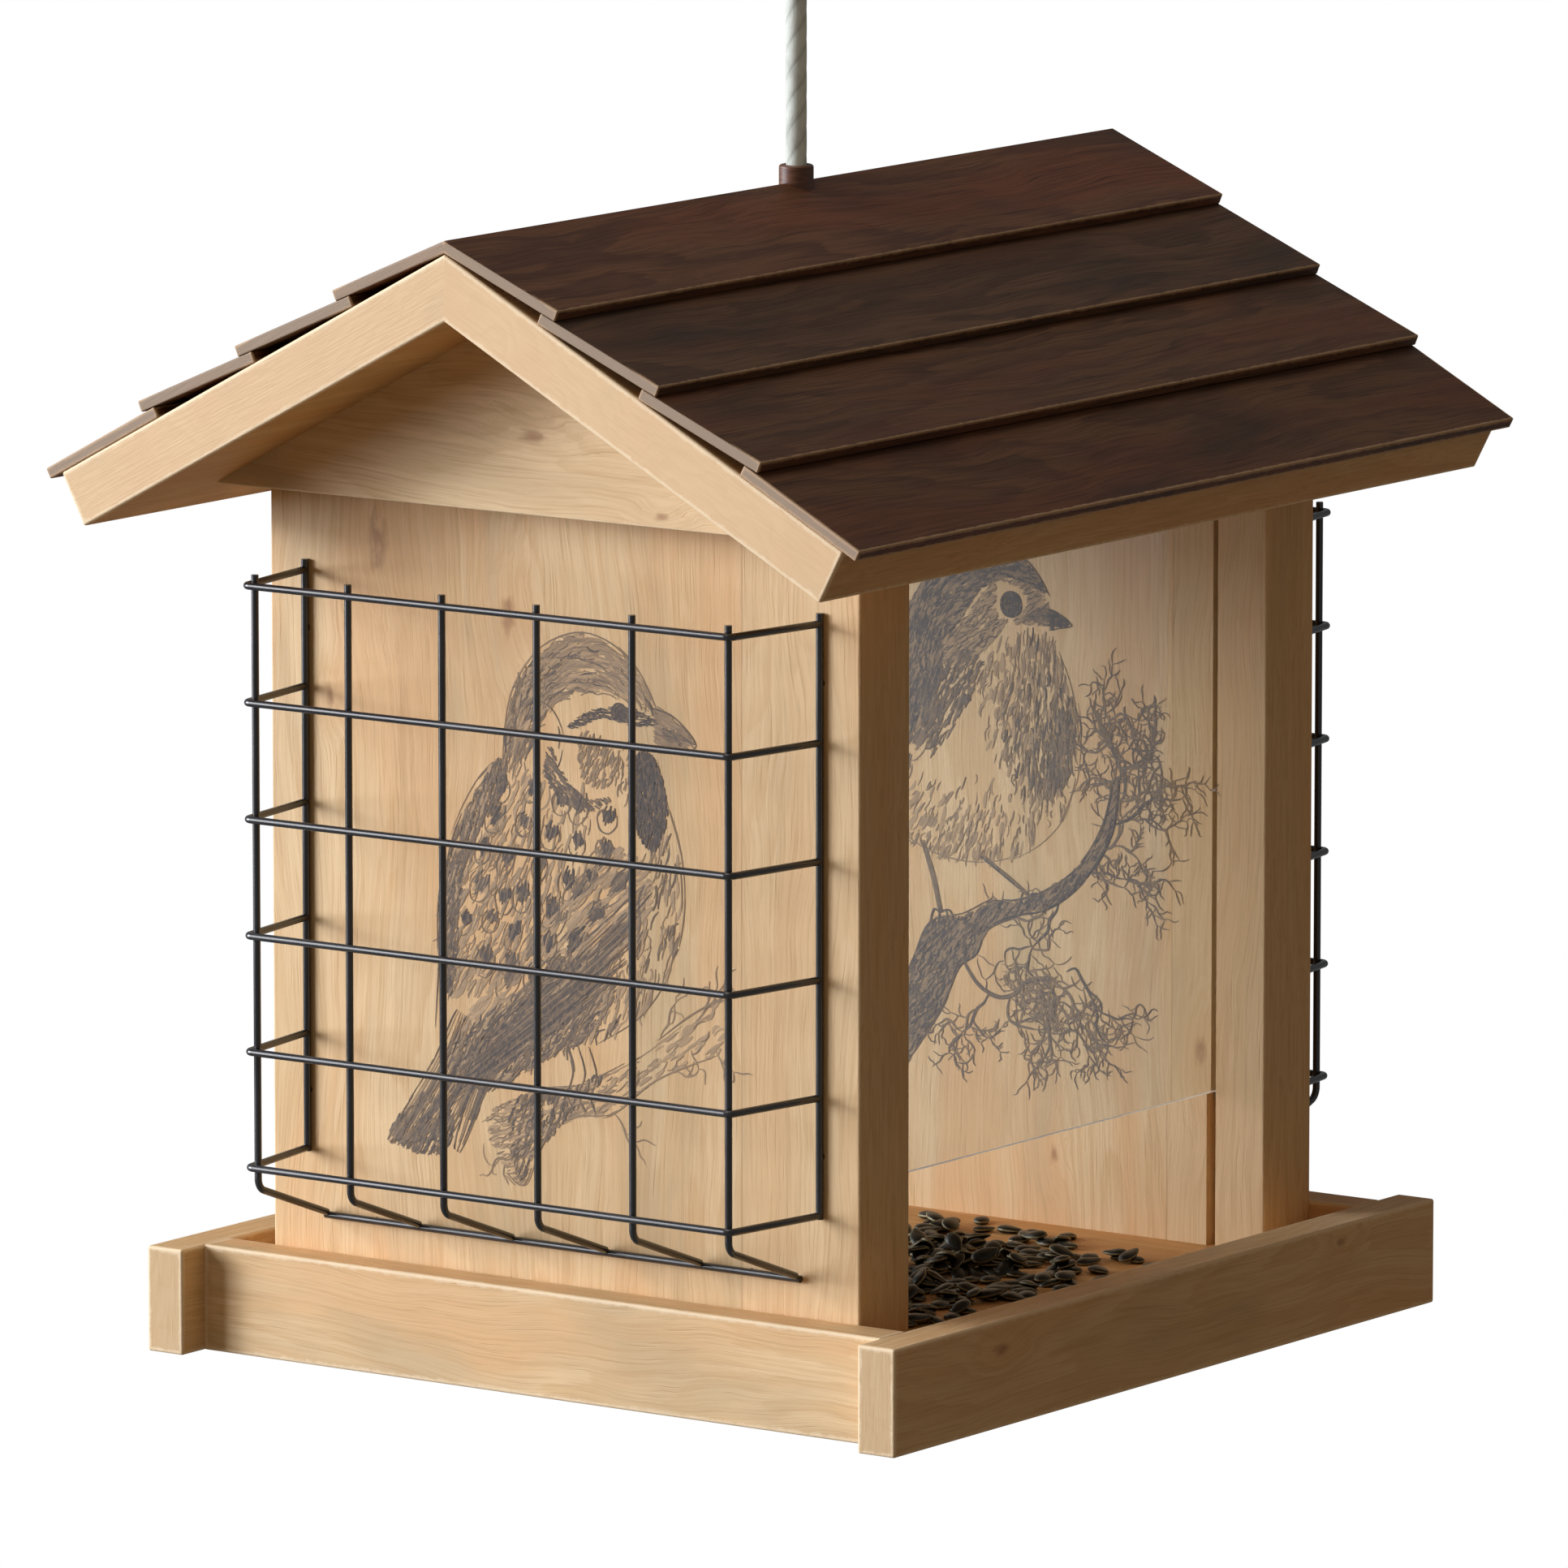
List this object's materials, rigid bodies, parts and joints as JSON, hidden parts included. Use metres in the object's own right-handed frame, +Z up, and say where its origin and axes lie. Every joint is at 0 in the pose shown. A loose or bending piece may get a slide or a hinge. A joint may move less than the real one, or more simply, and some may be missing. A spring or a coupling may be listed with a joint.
{
  "type": "hanging bird feeder",
  "caption": "Timber house-shaped bird feeder with a lift-off shingled gable roof, sliding clear panels, a railed seed tray, wire suet cages on the end walls and a hanging rope",
  "frame": {"origin": "middle of the bounding box on the plane that the tray stands on, leaving out the rope and its eye", "axes": "+Z up, the roof ridge runs along Y, the front suet cage and gable face -Y, and the two clear panels face -X (left) and +X (right)"},
  "size_m": [0.214, 0.2504, 0.3358],
  "materials": {
    "light_timber": "satin",
    "stained_shingle": "satin",
    "dowel_timber": "matte",
    "clear_acrylic": "gloss",
    "black_wire": "gloss",
    "braided_rope": "matte",
    "brown_plastic": "satin",
    "zinc_steel": "satin"
  },
  "bodies": {
    "house": {"tray_floor": "light_timber", "tray_rail_left": "light_timber", "tray_rail_right": "light_timber", "tray_rail_front": "light_timber", "tray_rail_rear": "light_timber", "rail_dowels": "dowel_timber", "floor_screws": "zinc_steel", "end_wall_front": "light_timber", "end_wall_rear": "light_timber", "panel_stop_pins": "zinc_steel", "hanger_bar": "light_timber", "hanger_bar_screws": "zinc_steel", "suet_cage_front_uprights": "black_wire", "suet_cage_front_hoops": "black_wire", "suet_cage_front_pegs": "black_wire", "suet_cage_rear_uprights": "black_wire", "suet_cage_rear_hoops": "black_wire", "suet_cage_rear_pegs": "black_wire", "rope": "braided_rope", "rope_knot": "braided_rope", "knot_washer": "zinc_steel", "hanging_eye": "brown_plastic"},
    "roof": {"roof_panel_left": "light_timber", "roof_panel_right": "light_timber", "shingle_left_1": "stained_shingle", "shingle_left_2": "stained_shingle", "shingle_left_3": "stained_shingle", "shingle_left_4": "stained_shingle", "shingle_right_1": "stained_shingle", "shingle_right_2": "stained_shingle", "shingle_right_3": "stained_shingle", "shingle_right_4": "stained_shingle", "gable_board_front": "light_timber", "gable_board_rear": "light_timber", "rope_collar": "brown_plastic", "ridge_dowels": "dowel_timber", "roof_screws": "zinc_steel"},
    "panel_left": {"acrylic_panel_left": "clear_acrylic"},
    "panel_right": {"acrylic_panel_right": "clear_acrylic"}
  },
  "joints": [
    {"name": "roof_lift", "type": "slide", "parent": "house", "child": "roof", "axis": [0, 0, 1], "range_m": [0, 0.045]},
    {"name": "panel_left_slide", "type": "slide", "parent": "house", "child": "panel_left", "axis": [0, 0, 1], "range_m": [0, 0.01]},
    {"name": "panel_right_slide", "type": "slide", "parent": "house", "child": "panel_right", "axis": [0, 0, 1], "range_m": [0, 0.01]}
  ]
}
